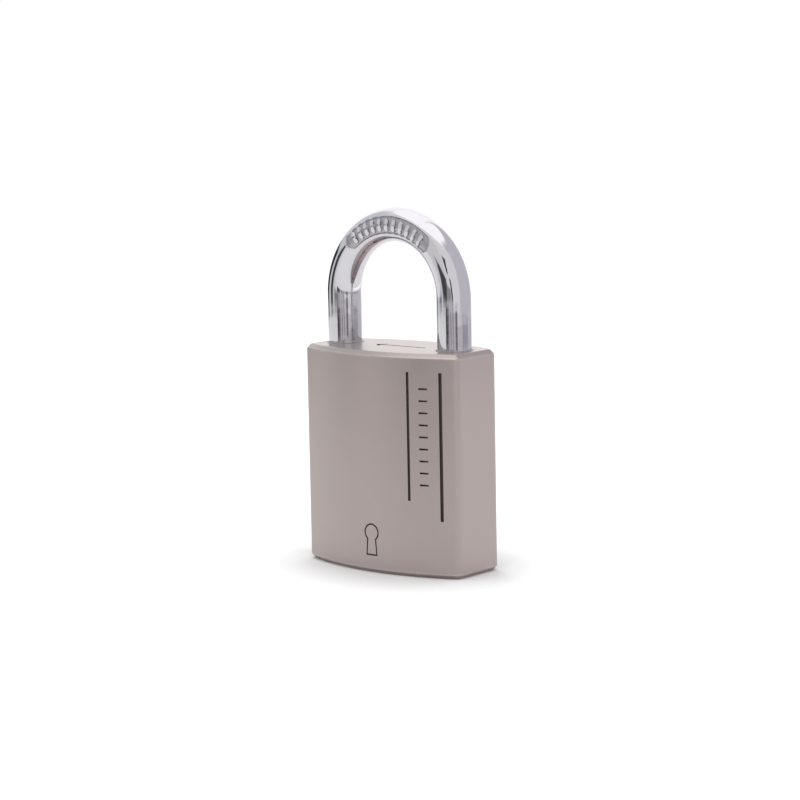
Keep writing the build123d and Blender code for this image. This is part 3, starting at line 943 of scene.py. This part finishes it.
spring_steel = finish("spring_steel", drawn_steel)
spring_low = heel_hole_floor + spring_wire + spring_play
shackle_spring = coil(
    "lift_spring",
    spring_wire,
    coil_radius,
    spring_turns,
    (leg_x, 0, spring_low),
    (0, 0, 1),
    heel_end - spring_wire - spring_play - spring_low,
)
shackle_spring.data.materials.append(spring_steel)
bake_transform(shackle_spring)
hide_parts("shackle_spring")

# ---------------------------------------------------------------- pins and plug in the body
# Two steel pins driven in from the back hold the shackle and the cylinder, and a turned plug
# closes the ball bore on the toe side. They are plated with the body and dressed nearly flush.
pin_radius, plug_radius, rim_softness, plug_face_x = 1.25, 3.58, 0.18, -24.99
pin_sides = 48


def capped(length, radius, softness):
    """The profile of a round bar from 0 to that length, with softened rims at both ends."""
    line = [(0, tip_radius), (0, radius), (length, radius), (length, tip_radius)]
    return rounded(line, softness, 4)[:, :2]


def set_in_body(piece, node):
    """Plates a piece with the body and lets it stand for its node."""
    piece.data.materials.append(nickel)
    piece.data.set_sharp_from_angle(angle=sharp_bar)
    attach(piece, "lock_body")
    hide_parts(node)


for (_, x, level, _), node in zip(pin_holes, ("shackle_pin", "cylinder_pin")):
    low, high = (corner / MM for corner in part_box(node))
    profile = capped(high.y - low.y, pin_radius, rim_softness)
    set_in_body(turned("set_" + node, profile, (x, low.y, level), (0, 1, 0), pin_sides), node)
low, high = (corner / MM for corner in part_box("cross_bore_plug"))
profile = capped(high.x - plug_face_x, plug_radius, rim_softness)
bore_plug = turned(
    "ball_bore_plug", profile, (high.x, 0, cross_bore_level), (-1, 0, 0)
)
set_in_body(bore_plug, "cross_bore_plug")

# ---------------------------------------------------------------- balls
# Two hardened and ground balls, one for each leg. The rotor pushes them out into the notches
# as the plug turns to lock.
ball_radius, ball_x = 3.5, 9.8
ball_sides, pole_gap = 64, 0.003


def ground_steel(place):
    """Hardened steel off the grinder: bright grey with very fine scratches."""
    cloud = noise(place, 300, 2)
    scratch = noise(place, 5200, 2)
    bump = place.node(
        "ShaderNodeBump", None, {"Strength": 0.2, "Distance": 0.00002, "Height": scratch}
    )
    return principled(
        place,
        Base_Color=cloud.blend((0.4, 0.4, 0.42, 1), (0.48, 0.48, 0.49, 1)),
        Metallic=1.0,
        Roughness=0.16 + scratch * 0.12,
        Normal=bump,
    )


hard_steel = finish("hard_steel", ground_steel)
half_turn = np.linspace(pole_gap, math.pi - pole_gap, 33)
ball_profile = ball_radius * np.stack([-np.cos(half_turn), np.sin(half_turn)], axis=1)
for node, x in (("toe_ball", -ball_x), ("heel_ball", ball_x)):
    centre = (x, 0, cross_bore_level)
    ball = turned("locking_" + node, ball_profile, centre, (0, 0, 1), ball_sides)
    ball.data.materials.append(hard_steel)
    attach(ball, node + "_body")
    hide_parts(node)

# ---------------------------------------------------------------- cylinder shell
# A brass bar turned round, with a straight bible left along its back, drilled for the plug and
# across for the six pin stacks. A retaining pin bears in its side notch.
shell_radius, bible_half, bible_depth = 8.6, 4.0, 10.95
shell_low, shell_high, shell_softness = 0.4, 30.4, 0.2
plug_bore, flange_bore, flange_depth = 5.55, 6.25, 1.3
chamber_radius, first_chamber, chamber_pitch, chamber_count = 1.35, 5.2, 4.2, 6
strip_half, strip_floor, strip_low, strip_high = 1.8, 10.45, 3.6, 27.8
hard_pin_hole, hard_pin_depth, hard_pin_radius = 0.82, 8.0, 0.8
end_inset, end_softness, bore_break, bore_sides = 0.35, 0.08, 0.12, 40


def shell_outline(inset):
    """The shell seen from below, drawn in by the inset: straight up one side of the bible,
    across it, down the other side, and round the circle from one foot to the other."""
    half, reach, circle = bible_half - inset, bible_depth - inset, shell_radius - inset
    foot = math.acos(half / circle)
    turn = np.linspace(math.pi - foot, 2 * math.pi + foot, 97)
    arc = np.stack([np.cos(turn), np.sin(turn)], axis=1) * circle
    return np.concatenate([[(half, reach), (-half, reach)], arc])


def turned_brass(place):
    """Free-cutting brass off the lathe: fine rings round the middle of the face, duller
    patches from handling."""
    x = place.node("ShaderNodeSeparateXYZ", None, [place], out=0)
    y = place.node("ShaderNodeSeparateXYZ", None, [place], out=1)
    out = x.math("SQRT", x * x + y * y)
    ring = x.math("SINE", out * 26000) * 0.5 + 0.5
    patch = noise(place, 320, 4)
    bump = place.node("ShaderNodeBump", None, {
        "Strength": 0.25, "Distance": 0.00002, "Height": ring + noise(place, 4000, 2),
    })
    return principled(
        place,
        Base_Color=patch.blend((0.56, 0.4, 0.17, 1), (0.7, 0.52, 0.25, 1)),
        Metallic=1.0,
        Roughness=0.24 + patch * 0.14,
        Normal=bump,
    )


brass = finish("turned_brass", turned_brass)
face_profile = rounded(
    [
        (-end_inset, shell_low),
        (-shell_softness, shell_low),
        (0, shell_low + shell_softness),
        (0, shell_high - shell_softness),
        (-shell_softness, shell_high),
        (-end_inset, shell_high),
    ],
    end_softness,
    3,
)
shell_rings = []
for inset, level, _ in face_profile:
    edge = shell_outline(-inset)
    shell_rings.append(np.column_stack([edge, np.full(len(edge), level)]))
shell = loft("cylinder_barrel", np.stack(shell_rings))
shell.data.materials.append(brass)
bore_line = [
    (shell_low - overshoot, flange_bore + (overshoot + bore_break)),
    (shell_low + bore_break, flange_bore),
    (shell_low + flange_depth, flange_bore),
    (shell_low + flange_depth, plug_bore),
    (shell_high + overshoot, plug_bore),
]
shell_cuts = [turned("plug_bore", bore_line, (0, 0, 0), (0, 0, 1))]
chamber_levels = first_chamber + chamber_pitch * np.arange(chamber_count)
for i, level in enumerate(chamber_levels):
    bore = [(plug_bore / 2, chamber_radius), (bible_depth + overshoot, chamber_radius)]
    shell_cuts.append(turned(f"chamber_{i + 1}", bore, (0, 0, level), (0, 1, 0), bore_sides))
strip_edge = box_outline(-strip_half, strip_low, strip_half, strip_high)
shell_cuts.append(
    prism("strip_groove", strip_edge, -bible_depth - overshoot, -strip_floor, "y")
)
low, high = (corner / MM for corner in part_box("anti_drill_pins"))
for i, x in enumerate((low.x + hard_pin_radius, high.x - hard_pin_radius)):
    bore = [(-overshoot, hard_pin_hole), (shell_low + hard_pin_depth, hard_pin_hole)]
    foot = (x, low.y + hard_pin_radius, 0)
    shell_cuts.append(turned(f"hard_pin_bore_{i + 1}", bore, foot, (0, 0, 1), bore_sides))
_, notch_x, notch_z, _ = pin_holes[1]
side_bore = [(-shell_radius, pin_hole_radius), (shell_radius, pin_hole_radius)]
side_foot = (notch_x, 0, notch_z)
shell_cuts.append(turned("pin_notch", side_bore, side_foot, (0, 1, 0), pin_sides))
for cutter in shell_cuts:
    cutter.data.materials.append(brass)
cut(shell, shell_cuts)
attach(shell, "lock_body")
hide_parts("cylinder_shell")

# ---------------------------------------------------------------- plug
# Turned brass with a flange at the face, a groove for its clip, and a tang that drives the
# rotor. The stepped keyway is broached from the face, and six chambers meet it from the side.
flange_radius, flange_top, barrel_radius, barrel_top = 6.2, 1.6, 5.5, 30.5
groove_radius, groove_top, boss_radius, boss_top = 3.2, 31.3, 4.0, 32.0
tang_half_x, tang_half_y, tang_top = 3.2, 1.3, 35.4
plug_softness, keyway_mouth = 0.15, 0.18
key_near, key_mid, key_far, key_half, key_step = -4.4, -0.6, 3.2, 1.0, 0.5
keyway_top = 28.0
boss_inset, plug_steps, tip_share = 0.3, 144, 0.001


def plug_blank():
    """Rings round the plug's axis, each at a height. Up to the boss they are circles that
    follow the turned profile; the tang's rings meet a rectangle in the same directions."""
    profile = rounded(
        [
            (shell_low, tip_radius),
            (shell_low, flange_radius),
            (flange_top, flange_radius),
            (flange_top, barrel_radius),
            (barrel_top, barrel_radius),
            (barrel_top, groove_radius),
            (groove_top, groove_radius),
            (groove_top, boss_radius),
            (boss_top, boss_radius),
            (boss_top, boss_radius - boss_inset),
        ],
        plug_softness,
        3,
    )
    turn = np.linspace(0, 2 * math.pi, plug_steps, endpoint=False)
    spoke = np.stack([np.cos(turn), np.sin(turn)], axis=1)
    reach = np.repeat(profile[:, 1:2], plug_steps, axis=1)
    level = profile[:, 0]
    with np.errstate(divide="ignore"):
        square = np.minimum(tang_half_x / abs(spoke[:, 0]), tang_half_y / abs(spoke[:, 1]))
    reach = np.concatenate([reach, [square, square, square * tip_share]])
    level = np.concatenate([level, [boss_top, tang_top, tang_top]])
    flat = reach[..., None] * spoke[None]
    tall = np.broadcast_to(level[:, None, None], flat.shape[:2] + (1,))
    return loft("key_plug", np.concatenate([flat, tall], axis=2))


def keyway_edge(grow):
    """The keyway's section grown all round: two strips side by side, one a step lower."""
    half = key_half + grow
    return [
        (key_near - grow, -half),
        (key_mid - grow, -half),
        (key_mid - grow, -half - key_step),
        (key_far + grow, -half - key_step),
        (key_far + grow, half - key_step),
        (key_mid + grow, half - key_step),
        (key_mid + grow, half),
        (key_near - grow, half),
    ]


plug = plug_blank()
plug.data.materials.append(brass)
mouth_line = [
    (overshoot + keyway_mouth, shell_low - overshoot),
    (0, shell_low + keyway_mouth),
    (0, keyway_top),
]
mouth_rings = []
for grow, level in mouth_line:
    edge = np.asarray(keyway_edge(grow))
    mouth_rings.append(np.column_stack([edge, np.full(len(edge), level)]))
plug_cuts = [loft("keyway", np.stack(mouth_rings))]
for i, level in enumerate(chamber_levels):
    bore = [(0, chamber_radius), (barrel_radius + overshoot, chamber_radius)]
    foot = (0, 0, level)
    plug_cuts.append(turned(f"plug_chamber_{i + 1}", bore, foot, (-1, 0, 0), bore_sides))
for cutter in plug_cuts:
    cutter.data.materials.append(brass)
cut(plug, plug_cuts)
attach(plug, "plug_group")
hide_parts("plug")

# ---------------------------------------------------------------- the rest of the works
# The rotor, the hard pins, the clip, the chamber strip and the pin stacks keep their shapes
# from the model. Each gets the finish of its material.
finishes = {
    "satin_nickel": nickel,
    "chrome_plate": chrome_plate,
    "hard_steel": hard_steel,
    "spring_steel": spring_steel,
    "brass": brass,
}
for part in frame["record"]["subparts"]:
    node = frame["nodes"][part["node"]]
    node.data.materials.clear()
    node.data.materials.append(finishes[part["material_slot"]])

low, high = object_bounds()
